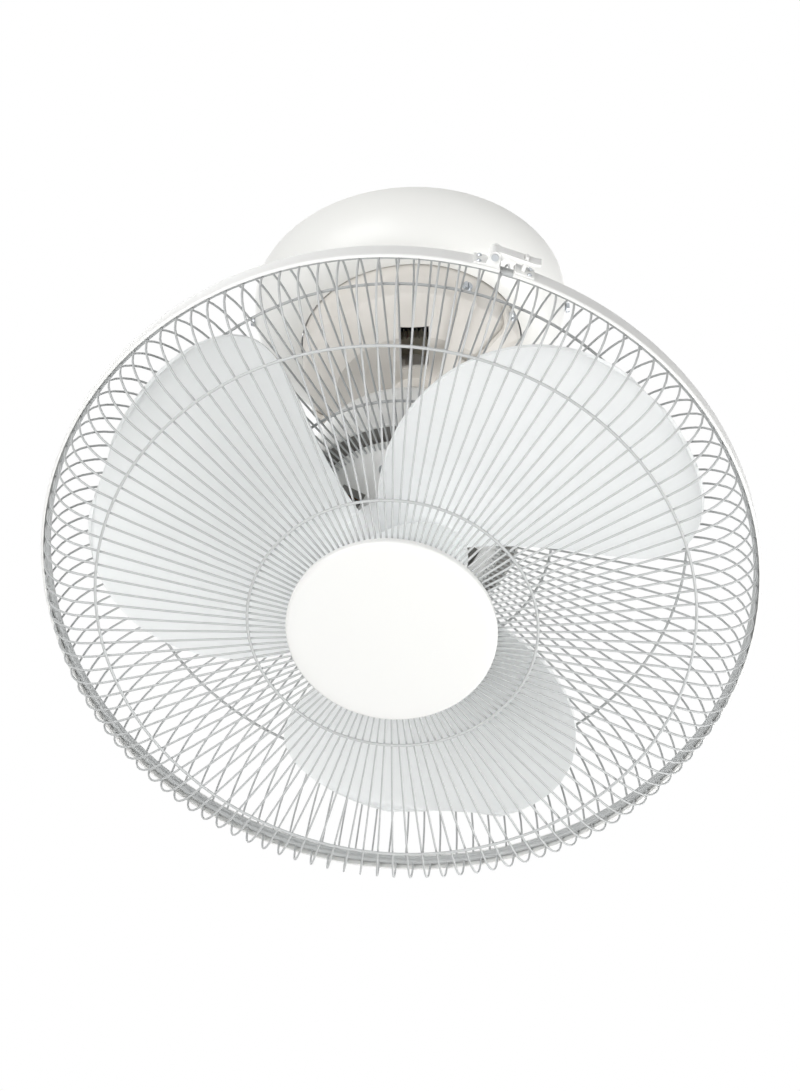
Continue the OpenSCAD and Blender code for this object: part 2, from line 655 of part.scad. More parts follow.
module through_bolts() {
  color(steel) in_head() ring_of(4, bolt_r, 45) translate([0, 0, rear_web_z - 4]) rotate([180, 0, 0])
    translate([0, 0, -(shield_z + 2 - rear_web_z + 4)]) screw(bolt_d, shield_z + 2 - rear_web_z + 4);
}
module stator_core() {
  bore = rotor_d / 2 + air_gap;
  color(zinc) in_head() translate([0, 0, stack_z]) linear_extrude(stack_h) difference() {
    circle(d = stator_d, $fn = 128);
    circle(r = bore, $fn = 96);
    for (i = [0 : stator_slots - 1]) rotate(i * 360 / stator_slots) {
      w = PI * bore / stator_slots;
      polygon([[bore + 4, -w * 0.6], [stator_d / 2 - 8, -w], [stator_d / 2 - 8, w], [bore + 4, w * 0.6]]);
      translate([bore - 1, -1.2]) square([6, 2.4]);
    }
  }
}
module stator_windings() {
  r0 = rotor_d / 2 + air_gap + 4.5;
  r1 = stator_d / 2 - 7;
  color(copper) in_head() for (z = [stack_z - coil_h - seat, stack_z + stack_h + seat]) translate([0, 0, z])
    rotate_extrude($fn = 96) polygon([[r0, 1], [r0 + 2, 0], [r1 - 3, 0], [r1, 3], [r1, coil_h - 3],
      [r1 - 3, coil_h], [r0 + 2, coil_h], [r0, coil_h - 1]]);
}
module shaft_bushes() {
  color(bronze) in_head() {
    translate([0, 0, rear_web_z + 1 + seat]) tube(shaft_d / 2 + 3, shaft_d / 2 + run_fit, 13 - seat);
    translate([0, 0, shield_z - 8]) tube(shaft_d / 2 + 3, shaft_d / 2 + run_fit, 20);
  }
}
module motor_cover() {
  r = cover_r;
  hole = bell_r + 0.5;
  turn_z = bell_z + 28;
  deep = 24;
  t = cover_wall;
  color(pearl) in_head() difference() {
    rotate_extrude($fn = 128) polygon(concat(
      [[r - t, shield_z + 4], [r - 0.8, shield_z + 4], [r, shield_z + 3.2]],
      [for (i = [0 : 12]) [hole + (r - hole) * cos(i * 7.5), turn_z - deep * sin(i * 7.5)]],
      [for (i = [12 : -1 : 0]) [hole + (r - t - hole) * cos(i * 7.5), turn_z - (deep - t) * sin(i * 7.5)]]));
    for (i = [0 : cover_slots - 1]) rotate([0, 0, i * 360 / cover_slots])
      translate([hole + 6, -1.6, turn_z - deep - 1]) cube([12, 3.2, deep]);
    ring_of(3, r - 6, 60) translate([0, 0, shield_z - 2.5]) rotate([0, 90, 0])
      cylinder(d = 3.4, h = 12, $fn = 24);
  }
}
module cover_screws() {
  color(zinc) in_head() ring_of(3, cover_r, 60) translate([0, 0, shield_z - 2.5]) rotate([0, 90, 0])
    translate([0, 0, seat - 5]) screw(3, 5);
}

// ---- rotor, shaft and blades ----
hub_back = blade_z - hub_h / 2 - 2;
hub_front = hub_back + hub_h;
hub_r = hub_d / 2;
shaft_end = hub_front + 14;
module motor_shaft() {
  color(steel) in_head() difference() {
    union() {
      translate([0, 0, rear_web_z + 2]) cylinder(d = shaft_d, h = shaft_end - rear_web_z - 2);
      translate([0, 0, shaft_end]) cylinder(d1 = shaft_d, d2 = shaft_d - 2, h = 1);
    }
    translate([0, 0, hub_back + 2.2]) rotate([90, 0, 0])
      cylinder(d = 4 + 2 * seat, h = 30, center = true, $fn = 24);
  }
}
module rotor_core() {
  color(zinc) in_head() difference() {
    union() {
      translate([0, 0, stack_z]) cylinder(d = rotor_d, h = stack_h, $fn = 96);
      for (z = [stack_z - 4, stack_z + stack_h - 1]) translate([0, 0, z])
        tube(rotor_d / 2 - 1, rotor_d / 2 - 8, 5);
    }
    translate([0, 0, stack_z - 5]) cylinder(r = shaft_d / 2 + seat, h = stack_h + 10);
  }
}
module drive_pin() {
  color(steel) in_head() translate([0, 0, hub_back + 2.2]) rotate([90, 0, 0])
    cylinder(d = 4, h = 2 * shaft_d + 2, center = true, $fn = 24);
}
function narrowed(half, r, power, root) = half * pow(1 - pow(r / blade_r, power), root);
function lead_angle(r) = narrowed(lead_half, r, 1.85, 0.36);
function trail_angle(r) = narrowed(trail_half, r, 5.5, 0.23);
function mid_angle(r) = -blade_sweep * (r - hub_r) / 1000;
function pitch(r) = pitch_root + (pitch_tip - pitch_root) * (r - hub_r) / (blade_r - hub_r);
// a point of the front face: x runs from -1 at the rear edge to 1 at the front edge
function blade_top(r, x) = let(off = (lead_angle(r) * (1 + x) - trail_angle(r) * (1 - x)) / 2,
  a = mid_angle(r) + off, fill = min(1, (r - hub_r + 20) / 60))
  [r * cos(a), r * sin(a), pitch(r) * off - camber * fill * (1 - x * x)];
function blade_thick(x) = 0.9 + (blade_t - 0.9) * pow(1 - x * x, 0.6);
module blade() {
  nu = 15;
  nv = 14;
  n = nv + 1;
  r0 = hub_r - 1.5;
  r1 = blade_r * 0.9985;
  rs = [for (i = [0 : nu]) r0 + (r1 - r0) * sin(90 * i / nu)];
  xs = [for (j = [0 : nv]) -cos(180 * j / nv)];
  face = [for (r = rs, x = xs) blade_top(r, x)];
  back = [for (r = rs, x = xs) blade_top(r, x) - [0, 0, blade_thick(x)]];
  m = len(face);
  skin = [for (i = [0 : nu - 1], j = [0 : nv - 1]) let(a = i * n + j) each
    [[a, a + 1, a + n], [a + 1, a + n + 1, a + n],
     [m + a, m + a + n, m + a + 1], [m + a + 1, m + a + n, m + a + n + 1]]];
  ends = [for (j = [0 : nv - 1], a = [j, nu * n + j]) each (a < n
    ? [[a, m + a, a + 1], [a + 1, m + a, m + a + 1]] : [[a, a + 1, m + a], [a + 1, m + a + 1, m + a]])];
  sides = [for (i = [0 : nu - 1], a = [i * n, i * n + nv]) each (a % n == 0
    ? [[a, a + n, m + a], [a + n, m + a + n, m + a]] : [[a, m + a, a + n], [a + n, m + a, m + a + n]])];
  polyhedron(concat(face, back), concat(skin, ends, sides));
}
module blades() {
  color(white) in_head() {
    translate([0, 0, blade_z]) ring_of(blade_count, 0, blade_turn) blade();
    difference() {
      union() {
        difference() {
          rotate_extrude($fn = 96) polygon([[0, hub_back], [hub_r, hub_back], [hub_r, hub_front - 4],
            each arc_pts([hub_r - 4, hub_front - 4], 4, 0, 90, 5), [0, hub_front]]);
          translate([0, 0, hub_back - 1]) cylinder(r = hub_r - hub_wall, h = hub_h - hub_wall, $fn = 96);
        }
        translate([0, 0, hub_back]) cylinder(r = shaft_d / 2 + 6, h = hub_h - 1);
        for (i = [0 : 5]) rotate([0, 0, i * 60]) translate([shaft_d / 2 + 4, -1, hub_back + 12])
          cube([hub_r - hub_wall - shaft_d / 2 - 3, 2, hub_h - 13]);
      }
      translate([0, 0, hub_back - 1]) cylinder(r = shaft_d / 2 + seat, h = hub_h + 2);
      translate([-2.1, -shaft_d - 7, hub_back - 1]) cube([4.2, 2 * shaft_d + 14, 5.3]);
    }
  }
}
module spinner_nut() {
  h = 18;
  color(white) in_head() translate([0, 0, hub_front + seat]) difference() {
    rotate_extrude() polygon([[shaft_d / 2 + seat, 0], [16, 0], [16, h - 5],
      each arc_pts([11, h - 5], 5, 0, 90, 5), [0, h], [0, h - 1], [shaft_d / 2 + seat, h - 1.5]]);
    ring_of(12, 17.5) translate([0, 0, 2]) cylinder(r = 2.2, h = h, $fn = 24);
  }
}

// ---- cage: every wire is bent in its own radial plane ----
// a bent wire from radius r0 on the face, round the bend, to the rim wire
module bent_wire(rim, c, cr, a0, side, r0) {
  h = wire_d / 2;
  a1 = tangent_a(rim, c, cr, side);
  u = side * [sin(a1), -cos(a1)];
  e = rim - u * (rim_d / 2 + seat);
  f = face_z(r0, c, cr, a0);
  pts = concat([[r0, f] + h * dir(a0)], arc_pts(c, cr + h, a0, a1, 9), [e + h * dir(a1), e - h * dir(a1)],
    arc_pts(c, cr - h, a1, a0, 9), [[r0, f] - h * dir(a0)]);
  rotate([90, 0, 0]) linear_extrude(wire_d, center = true) polygon(pts);
}
module front_cage_wires() {
  color(white) in_head() for (i = [0 : cage_wires - 1]) rotate([0, 0, i * 360 / cage_wires])
    bent_wire(front_rim, front_bend, front_bend_r, front_a, 1, front_start_r);
}
module rear_cage_wires() {
  color(white) in_head() for (i = [0 : cage_wires - 1]) rotate([0, 0, (i + 0.5) * 360 / cage_wires])
    bent_wire(rear_rim, rear_bend, rear_bend_r, rear_a, -1, rear_start_r);
}
ring_off = (wire_d + ring_d) / 2 + seat;
// a ring of radius r lies outside the wires, on their straight part or on their bend
function ring_z(r, c, cr, a) = let(far = cr + ring_off, side = sign(a))
  r > c[0] + far * cos(a) ? c[1] + side * sqrt(far * far - pow(r - c[0], 2))
    : face_z(r, c, cr, a) + side * ring_off / sin(abs(a));
module front_cage_rings() {
  color(white) in_head() {
    torus(front_rim[0], front_rim[1], rim_d);
    for (r = [front_outer_ring_r, front_ring_r]) torus(r, ring_z(r, front_bend, front_bend_r, front_a), ring_d);
    torus(front_start_r + 3, front_ring_z, ring_d);
  }
}
module rear_cage_rings() {
  color(white) in_head() {
    torus(rear_rim[0], rear_rim[1], rim_d);
    for (r = [rear_outer_ring_r, rear_ring_r]) torus(r, ring_z(r, rear_bend, rear_bend_r, rear_a), ring_d);
  }
}
module rear_cage_plate() {
  color(white) in_head() difference() {
    translate([0, 0, guard_plate_z]) cylinder(r = rear_start_r + 4, h = guard_plate_t, $fn = 128);
    translate([0, 0, guard_plate_z - 1]) cylinder(r = 24, h = guard_plate_t + 2);
    ring_of(4, 45, 0) translate([0, 0, guard_plate_z - 1]) cylinder(d = 4.4, h = guard_plate_t + 2, $fn = 24);
    for (i = [0 : 3]) rotate([0, 0, i * 90 + 45]) translate([34, -9, guard_plate_z - 1])
      cube([16, 18, guard_plate_t + 2]);
  }
}
module cage_screws() {
  color(zinc) in_head() ring_of(4, 45, 0) translate([0, 0, rear_plate_z + seat - 10]) screw(4, 10);
}
module front_hub_plate() {
  color(steel) in_head() translate([0, 0, hub_plate_top - 1]) tube(front_start_r + 5, 2.2, 1);
}
module front_cap() {
  r = cap_d / 2;
  t = 2;
  top = cap_z + cap_edge;
  n = 8;
  flat = r - 1.5;
  skin = [for (i = [0 : n]) let(x = 1 - i / n) [flat * x, top + cap_crown * (1 - x * x)]];
  color(white) in_head() difference() {
    rotate_extrude($fn = 128) polygon(concat(
      [[r - t, cap_z], [r, cap_z], [r, top - 1.5], [r - 0.5, top - 0.5]], skin,
      [[0, hub_plate_top + seat], [5, hub_plate_top + seat], [5, top - t + 1]],
      [for (i = [n - 1 : -1 : 1]) [skin[i][0] - 0.3, skin[i][1] - t]], [[r - t, top - t - 0.6]]));
    translate([0, 0, hub_plate_top - 1]) cylinder(d = 3.6 + 2 * seat, h = 7, $fn = 24);
  }
}
module cap_screw() {
  color(zinc) in_head() translate([0, 0, hub_plate_top - 1 - seat]) rotate([180, 0, 0])
    translate([0, 0, -6]) screw(3.6, 6);
}

// ---- clamp hoop and its hasp latch ----
hoop_split = 8;
module clamp_hoop() {
  gap = hoop_split / hoop_r * 180 / PI;
  lip = rim_r + 1.2;
  out = hoop_r + hoop_t;
  curl = 1.6;
  z0 = rim_mid - hoop_w / 2;
  z1 = rim_mid + hoop_w / 2;
  color(white) in_head() rotate([0, 0, latch_az + gap / 2]) rotate_extrude(angle = 360 - gap, $fn = 128)
    polygon([[lip, z0], each arc_pts([out - curl, z0 + curl], curl, -90, 0, 4),
      each arc_pts([out - curl, z1 - curl], curl, 0, 90, 4), [lip, z1],
      [lip, z1 - 1], [hoop_r, z1 - 1.6], [hoop_r, z0 + 1.6], [lip, z0 + 1]]);
}
latch_x = hoop_r + hoop_t + 0.15;
latch_pivot = [latch_x + 6.2, 9];
latch_pin_d = 2.6;
post_y = -9;
module at_latch() {
  in_head() rotate([0, 0, latch_az]) translate([0, 0, rim_mid]) children();
}
// a foot bent to the hoop's curve, between the tangential places y0 and y1
module foot(y0, y1, w, t) {
  intersection() {
    translate([0, 0, -w / 2]) tube(latch_x + t, latch_x, w, $fn = 256);
    translate([latch_x - 6, y0, -w / 2]) cube([12, y1 - y0, w]);
  }
}
module latch_bracket() {
  color(white) at_latch() difference() {
    union() {
      foot(4.5, 20, 12.4, 1.2);
      for (s = [-1, 1]) translate([0, 0, s * 5.5 - 0.7]) linear_extrude(1.4)
        polygon([[latch_x + 0.6, 5], [latch_x + 0.6, 13], [latch_pivot[0] + 1, 12.2],
          each arc_pts(latch_pivot, 3.2, 60, -60, 8), [latch_pivot[0] + 1, 5.8]]);
    }
    translate([latch_pivot[0], latch_pivot[1], -10]) cylinder(d = latch_pin_d + 2 * seat, h = 20, $fn = 24);
  }
}
module latch_catch() {
  color(white) at_latch() {
    foot(-16, -4.5, 12.4, 1.2);
    translate([latch_x + 0.6, post_y - 1, -2.5]) cube([latch_pivot[0] + 3.4 - latch_x, 2, 5]);
  }
}
module latch_pin() {
  color(steel) at_latch() translate([latch_pivot[0], latch_pivot[1], -7]) {
    cylinder(d = latch_pin_d, h = 14, $fn = 24);
    translate([0, 0, -0.8 + 0.4]) cylinder(d = latch_pin_d + 1.6, h = 0.8, $fn = 24);
    translate([0, 0, 13.6]) cylinder(d = latch_pin_d + 1.6, h = 0.8, $fn = 24);
  }
}
module latch_lever() {
  w = 9.2;
  x0 = latch_pivot[0];
  color(white) at_latch() difference() {
    translate([0, 0, -w / 2]) linear_extrude(w) polygon([each arc_pts(latch_pivot, 3, 180, 0, 10),
      [x0 + 3, 2], [x0 + 2.2, post_y - 5], [x0 + 2.8, post_y - 8.5], [x0 + 1.2, post_y - 8.5],
      [x0 + 0.2, post_y - 5], [x0 + 0.6, 2], [x0 - 2.4, 5.5]]);
    translate([x0, latch_pivot[1], -10]) cylinder(d = latch_pin_d + 0.1, h = 20, $fn = 24);
    translate([x0 - 6, post_y - 1.8, -3]) cube([16, 3.4, 6]);
  }
}
module latch_rivets() {
  r = latch_x + 1.2 + seat;
  color(zinc) at_latch() for (y = [17, -13], z = [-4, 4]) rotate([0, 0, asin(y / r)]) translate([r, 0, z])
    rotate([0, 90, 0]) cylinder(d1 = 3, d2 = 2, h = 0.8, $fn = 24);
}

ceiling_plate();
pillars();
pillar_screws();
canopy();
canopy_screws();
case_lid();
gear_case();
case_screws();
spindle_bush();
orbit_motor();
orbit_motor_screws();
terminal_block();
terminal_screws();
run_capacitor();
fork_arm_right();
fork_arm_left();
fork_screws();
orbit_pinion();
pinion_shaft();
crank();
orbit_gear();
gear_pin();
thrust_washer();
crank_washer();
crank_nut();
head_neck();
guide_pins();
head_bushes();
motor_rear_shield();
motor_front_shield();
through_bolts();
stator_core();
stator_windings();
shaft_bushes();
motor_cover();
cover_screws();
rear_cage_plate();
cage_screws();
rear_cage_wires();
rear_cage_rings();
front_cage_wires();
front_cage_rings();
front_hub_plate();
front_cap();
cap_screw();
clamp_hoop();
latch_bracket();
latch_catch();
latch_pin();
latch_rivets();
latch_lever();
motor_shaft();
rotor_core();
drive_pin();
blades();
spinner_nut();
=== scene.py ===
# %% [markdown]
# # An orbital ceiling fan
#
# A caged fan hangs from a round canopy. Its head leans outward and circles slowly, and a slotted fork
# stops it from turning round with the crank that carries it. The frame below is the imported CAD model,
# with every piece already in its place, so this script only gives each piece its finished shape and skin.
# Places are in metres, +Z is up and the origin is the middle of the ceiling face. The sizes of the pieces
# are in millimetres, as on a drawing, and MM turns them into metres where a mesh is made.

# %% The frame
import json
import math
import bmesh
import bpy
from mathutils import Matrix, Vector


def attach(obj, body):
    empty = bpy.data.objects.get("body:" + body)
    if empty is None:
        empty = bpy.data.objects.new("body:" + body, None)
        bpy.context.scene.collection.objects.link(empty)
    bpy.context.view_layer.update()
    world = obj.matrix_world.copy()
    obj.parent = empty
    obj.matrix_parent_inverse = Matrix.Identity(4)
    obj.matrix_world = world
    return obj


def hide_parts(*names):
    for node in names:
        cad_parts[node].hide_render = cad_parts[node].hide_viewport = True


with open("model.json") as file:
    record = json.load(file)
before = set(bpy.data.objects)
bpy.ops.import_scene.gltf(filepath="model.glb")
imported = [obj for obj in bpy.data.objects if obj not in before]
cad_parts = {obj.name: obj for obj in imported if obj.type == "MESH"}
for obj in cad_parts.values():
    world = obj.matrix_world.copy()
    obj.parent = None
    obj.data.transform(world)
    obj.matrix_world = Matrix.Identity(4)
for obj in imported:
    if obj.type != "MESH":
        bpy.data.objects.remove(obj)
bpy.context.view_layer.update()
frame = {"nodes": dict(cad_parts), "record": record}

MM = 0.001
TAU = 2 * math.pi
nodes = frame["nodes"]

# %% [markdown]
# ## The camera
#
# A photograph taken from far off with a long lens shows little perspective, and one taken from near shows
# much. So the place and the lens were fitted together, to the rim of the cage, the cap and the canopy. The
# camera stands low on one side and looks up by forty degrees. The picture is 800 pixels wide, and the
# sensor's width is given to that side, so the focal length in pixels turns straight into millimetres.

# %% Camera
PHOTO_WIDTH, FOCAL_PIXELS, SENSOR = 800, 2095, 36
EYE = (0.2906, -1.0321, -1.1300)
FORWARD, UP = (-0.2178, 0.7344, 0.6428), (0.2244, -0.6033, 0.7653)


def look(place, forward, up):
    """The matrix of a camera at place, with forward into the picture and up along it."""
    back = -Vector(forward).normalized()
    right = Vector(up).cross(back).normalized()
    over = back.cross(right)
    turn = Matrix((right, over, back)).transposed().to_4x4()
    return Matrix.Translation(Vector(place)) @ turn


camera_data = bpy.data.cameras.new("photo camera")
camera = bpy.data.objects.new("photo camera", camera_data)
bpy.context.scene.collection.objects.link(camera)
camera_data.sensor_fit = "HORIZONTAL"
camera_data.sensor_width = SENSOR
camera_data.lens = SENSOR * FOCAL_PIXELS / PHOTO_WIDTH
camera_data.clip_start, camera_data.clip_end = 0.05, 60
camera.matrix_world = look(EYE, FORWARD, UP)
bpy.context.scene.camera = camera
print("camera at", EYE, "lens", round(camera_data.lens, 1), "mm")

# %% [markdown]
# ## The room
#
# The fan hangs 2.6 m over a wide pale floor, which is out of sight below the camera in the photograph's
# view. Most of the lamps shine upward, so the floor gets little light. More lamps would wash out the fan,
# so the floor's material adds some light instead, but only on rays that end in the picture. The floor then
# looks pale and keeps the fan's shadow, and the added light falls on nothing. The world works the same way.
# It is white in the picture, also in metal and through glass. To everything that it lights it is pale at
# the sides and nearly dark overhead, as under a ceiling, so white paint keeps its shades.

# %% Colours, nodes and plain materials
def linear(hex_code, alpha=1.0):
    """An sRGB hex colour as the linear numbers that the shaders take."""
    parts = [int(hex_code[i:i + 2], 16) / 255 for i in (1, 3, 5)]
    return [c / 12.92 if c <= 0.04045 else ((c + 0.055) / 1.055) ** 2.4 for c in parts] + [alpha]


def add(tree, kind, settings=None, **links):
    """A new node with its settings and its inputs; an input is a value or another node's output.

    An input is named as its socket is, with _ for a space, or i0, i1 and so on by its place."""
    node = tree.nodes.new(kind)
    for setting, value in (settings or {}).items():
        setattr(node, setting, value)
    for name, value in links.items():
        numbered = name[0] == "i" and name[1:].isdigit()
        socket = node.inputs[int(name[1:]) if numbered else name.replace("_", " ")]
        if isinstance(value, bpy.types.NodeSocket):
            tree.links.new(value, socket)
        else:
            socket.default_value = value
    return node


def new_finish(name, colour, roughness, metallic=0.0, **sockets):
    """A material with a Principled shader whose plain values are set on its own sockets."""
    finish = bpy.data.materials.new(name)
    finish.use_nodes = True
    shader = finish.node_tree.nodes["Principled BSDF"]
    shader.inputs["Base Color"].default_value = linear(colour)
    shader.inputs["Roughness"].default_value = roughness
    shader.inputs["Metallic"].default_value = metallic
    for socket, value in sockets.items():
        shader.inputs[socket.replace("_", " ")].default_value = value
    return finish, finish.node_tree, shader


def seen(tree):
    """A socket that is 1 on rays that end in the picture and 0 on rays that only carry light."""
    rays = add(tree, "ShaderNodeLightPath")
    shown = add(tree, "ShaderNodeMath", {"operation": "MAXIMUM"},
                i0=rays.outputs["Is Camera Ray"], i1=rays.outputs["Is Glossy Ray"])
    return add(tree, "ShaderNodeMath", {"operation": "MAXIMUM"},
               i0=shown.outputs[0], i1=rays.outputs["Is Transmission Ray"]).outputs[0]


# %% World
FROM_SIDES, FROM_ABOVE = 1.0, 0.04  # strength of the light
SIDES_END, ABOVE_STARTS = 0.05, 0.5  # heights on a sphere of radius 1, between which it fades
world = bpy.data.worlds.new("soft white studio")
bpy.context.scene.world = world
world.use_nodes = True
sky = world.node_tree
sky.nodes.clear()
toward = add(sky, "ShaderNodeTexCoord")
split = add(sky, "ShaderNodeSeparateXYZ", None, Vector=toward.outputs["Generated"])
ambient = add(sky, "ShaderNodeMapRange", None, Value=split.outputs["Z"],
              From_Min=SIDES_END, From_Max=ABOVE_STARTS, To_Min=FROM_SIDES, To_Max=FROM_ABOVE)
strength = add(sky, "ShaderNodeMapRange", None, Value=seen(sky),
               To_Min=ambient.outputs[0], To_Max=1.0)
backdrop = add(sky, "ShaderNodeBackground", None, Color=(1, 1, 1, 1), Strength=strength.outputs[0])
add(sky, "ShaderNodeOutputWorld", None, Surface=backdrop.outputs[0])
print("ambient light", FROM_SIDES, "from the sides and", FROM_ABOVE, "from above")

# %% Lamps
HEAD = (0, -0.06, -0.3)  # the point that every lamp faces


def soft_lamp(name, place, size, power):
    """A square area lamp, size metres wide and power watts strong, at place and facing the fan's head."""
    data = bpy.data.lights.new(name, "AREA")
    data.shape, data.size, data.energy = "SQUARE", size, power
    lamp = bpy.data.objects.new(name, data)
    bpy.context.scene.collection.objects.link(lamp)
    lamp.location = place
    lamp.rotation_mode = "QUATERNION"
    lamp.rotation_quaternion = (Vector(place) - Vector(HEAD)).to_track_quat("Z", "Y")


soft_lamp("key from below", (1.2, 0.7, -1.6), 1.8, 37)
soft_lamp("fill from the front", (-0.5, -2.0, -1.2), 1.8, 41)
soft_lamp("rim from behind", (0.3, 1.8, -0.4), 1.2, 3)
soft_lamp("soft light on the back", (-0.4, 0.9, 1.6), 2.0, 20)
print("lamps:", len(bpy.data.lights))

# %% Floor
FLOOR_Z, FLOOR_HALF, FLOOR_LIFT = -2.6, 14, 0.7
floor_paint, paint, matt = new_finish("pale matt floor", "#ececea", 0.9)
lift = add(paint, "ShaderNodeMath", {"operation": "MULTIPLY"}, i0=seen(paint), i1=FLOOR_LIFT)
paler = add(paint, "ShaderNodeEmission", None, Strength=lift.outputs[0])
both = add(paint, "ShaderNodeAddShader", None, i0=matt.outputs[0], i1=paler.outputs[0])
paint.links.new(both.outputs[0], paint.nodes["Material Output"].inputs["Surface"])

shape = bmesh.new()
bmesh.ops.create_grid(shape, x_segments=1, y_segments=1, size=FLOOR_HALF)
bmesh.ops.translate(shape, vec=(0, 0, FLOOR_Z), verts=shape.verts)
floor_mesh = bpy.data.meshes.new("floor")
shape.to_mesh(floor_mesh)
shape.free()
floor_mesh.materials.append(floor_paint)
floor = bpy.data.objects.new("floor", floor_mesh)
bpy.context.scene.collection.objects.link(floor)
bpy.context.scene.view_settings.view_transform = "Standard"
print("floor at", FLOOR_Z, "m,", 2 * FLOOR_HALF, "m wide")

# %% [markdown]
# ## Finishes
#
# The fan is mostly white, so its shades come from gloss and grain. Powder coat on the wires has a fine
# orange-peel ripple and a middling sheen. The canopy and the motor cover are sprayed sheet steel, smoother
# than powder coat. The blades and the cap are moulded plastic. Behind them the mechanism is bare: zinc
# plate, ground steel, cast aluminium, sintered bronze and nylon. A picture could be wrapped round each
# piece instead, but patterns worked out in space need no unwrapping and never show a seam. Each one reads
# Object coordinates, and every object sits at the origin, so the sizes below are lengths on the piece.

# %% Grain, ripple and shade
NOISE_LOW, NOISE_HIGH = 0.3, 0.7  # nearly all noise lies between these


def grain(tree, size, detail=2.0, stretch=(1, 1, 1)):
    """Noise whose lumps are about size metres across, stretched along the axes by stretch."""
    place = add(tree, "ShaderNodeTexCoord")
    scaled = add(tree, "ShaderNodeMapping", None, Vector=place.outputs["Object"],
                 Scale=tuple(1 / s for s in stretch))
    return add(tree, "ShaderNodeTexNoise", None, Vector=scaled.outputs[0], Scale=1 / size, Detail=detail)


def ripple(tree, shader, height, depth):
    """Bump on shader from a 0 to 1 height output, depth metres tall."""
    bump = add(tree, "ShaderNodeBump", None, Height=height, Distance=depth, Strength=1.0)
    tree.links.new(bump.outputs["Normal"], shader.inputs["Normal"])


def shade_between(tree, socket, amount, low, high):
    """Runs a colour or number socket from low to high, as amount runs over the noise's range."""
    part = add(tree, "ShaderNodeMapRange", None, Value=amount, From_Min=NOISE_LOW, From_Max=NOISE_HIGH)
    blend = part.outputs[0]
    if isinstance(low, str):
        # A Mix node that is set to colours takes them on inputs 6 and 7 and has its result on output 2.
        mix = add(tree, "ShaderNodeMix", {"data_type": "RGBA"},
                  i0=blend, i6=linear(low), i7=linear(high))
        blend = mix.outputs[2]
    else:
        part.inputs["To Min"].default_value, part.inputs["To Max"].default_value = low, high
    tree.links.new(blend, socket)


# %% Coats of paint and powder
# Polyester powder on the hoop and its latch: a satin white with a ripple about 0.8 mm wide.
powder_white, tree, shader = new_finish("white powder coat", "#efefed", 0.40)
ripple(tree, shader, grain(tree, 0.8 * MM).outputs[0], 0.02 * MM)

# The wires and their rings wear the same powder as the hoop, coloured a light silvery grey instead of
# white: painted shade for the dim sides of thin white wires.
wire_powder_painted_shade, tree, shader = new_finish("powder coat greyed as painted shade", "#bcbebe", 0.38)
ripple(tree, shader, grain(tree, 0.8 * MM).outputs[0], 0.02 * MM)

# Stoved enamel on spun sheet: smoother and whiter than powder, with a long faint waviness.
enamel_white, tree, shader = new_finish("white stoved enamel", "#efefec", 0.34)
ripple(tree, shader, grain(tree, 6 * MM).outputs[0], 0.03 * MM)

# Sprayed die casting: warm light grey over a slightly pebbled skin, in slow soft clouds.
casting_paint, tree, shader = new_finish("warm grey casting paint", "#dedad4", 0.48)
ripple(tree, shader, grain(tree, 1.6 * MM, 4.0).outputs[0], 0.08 * MM)
clouds = grain(tree, 30 * MM)
shade_between(tree, shader.inputs["Base Color"], clouds.outputs[0], "#d8d4cd", "#e3dfd9")

# %% Moulded plastics
# Moulded ABS: the blades' cool white with a soft sheen and faint flow marks.
blade_plastic, tree, shader = new_finish("moulded ABS blade", "#f1f3f3", 0.36, IOR=1.53)
ripple(tree, shader, grain(tree, 14 * MM, 1.0).outputs[0], 0.05 * MM)
shade_between(tree, shader.inputs["Roughness"], grain(tree, 25 * MM).outputs[0], 0.33, 0.40)

# The cap's mould is polished, so it is the smoothest piece.
cap_plastic, tree, shader = new_finish("polished ABS cap", "#eaeae8", 0.25, IOR=1.53)
ripple(tree, shader, grain(tree, 20 * MM, 1.0).outputs[0], 0.02 * MM)

# Natural nylon: a waxy cream, a little translucent, for the gears, the washer and the terminal block.
natural_nylon, tree, shader = new_finish("natural nylon", "#e0dac9", 0.45, IOR=1.53,
                                         Subsurface_Weight=0.08, Subsurface_Scale=2 * MM)
ripple(tree, shader, grain(tree, 1.2 * MM).outputs[0], 0.02 * MM)

# The capacitor's case: matt moulded polypropylene.
capacitor_case, tree, shader = new_finish("matt polypropylene", "#e3e3df", 0.55, IOR=1.49)
ripple(tree, shader, grain(tree, 0.6 * MM).outputs[0], 0.03 * MM)

# %% Metals
# Bright zinc plate: bluish, with soft cloudy patches of different gloss.
zinc_plate, tree, shader = new_finish("bright zinc plate", "#b9bdc1", 0.34, 1.0)
clouds = grain(tree, 7 * MM, 3.0)
shade_between(tree, shader.inputs["Roughness"], clouds.outputs[0], 0.26, 0.44)
shade_between(tree, shader.inputs["Base Color"], clouds.outputs[0], "#aeb3b8", "#c4c7ca")

# Ground steel: shafts and pins, with fine rings left by the wheel, drawn 0.3 mm wide so that they show.
ground_steel, tree, shader = new_finish("ground steel", "#a4a6a8", 0.26, 1.0)
rings = grain(tree, 3 * MM, 2.0, (10, 10, 0.1))
ripple(tree, shader, rings.outputs[0], 0.01 * MM)
shade_between(tree, shader.inputs["Roughness"], rings.outputs[0], 0.2, 0.34)

# Pressure-cast aluminium: dull, grainy, with darker patches where the metal chilled.
cast_aluminium, tree, shader = new_finish("pressure-cast aluminium", "#9f9d99", 0.55, 1.0)
ripple(tree, shader, grain(tree, 0.9 * MM, 5.0).outputs[0], 0.1 * MM)
patches = grain(tree, 18 * MM, 3.0)
shade_between(tree, shader.inputs["Base Color"], patches.outputs[0], "#8b8986", "#aeaca8")

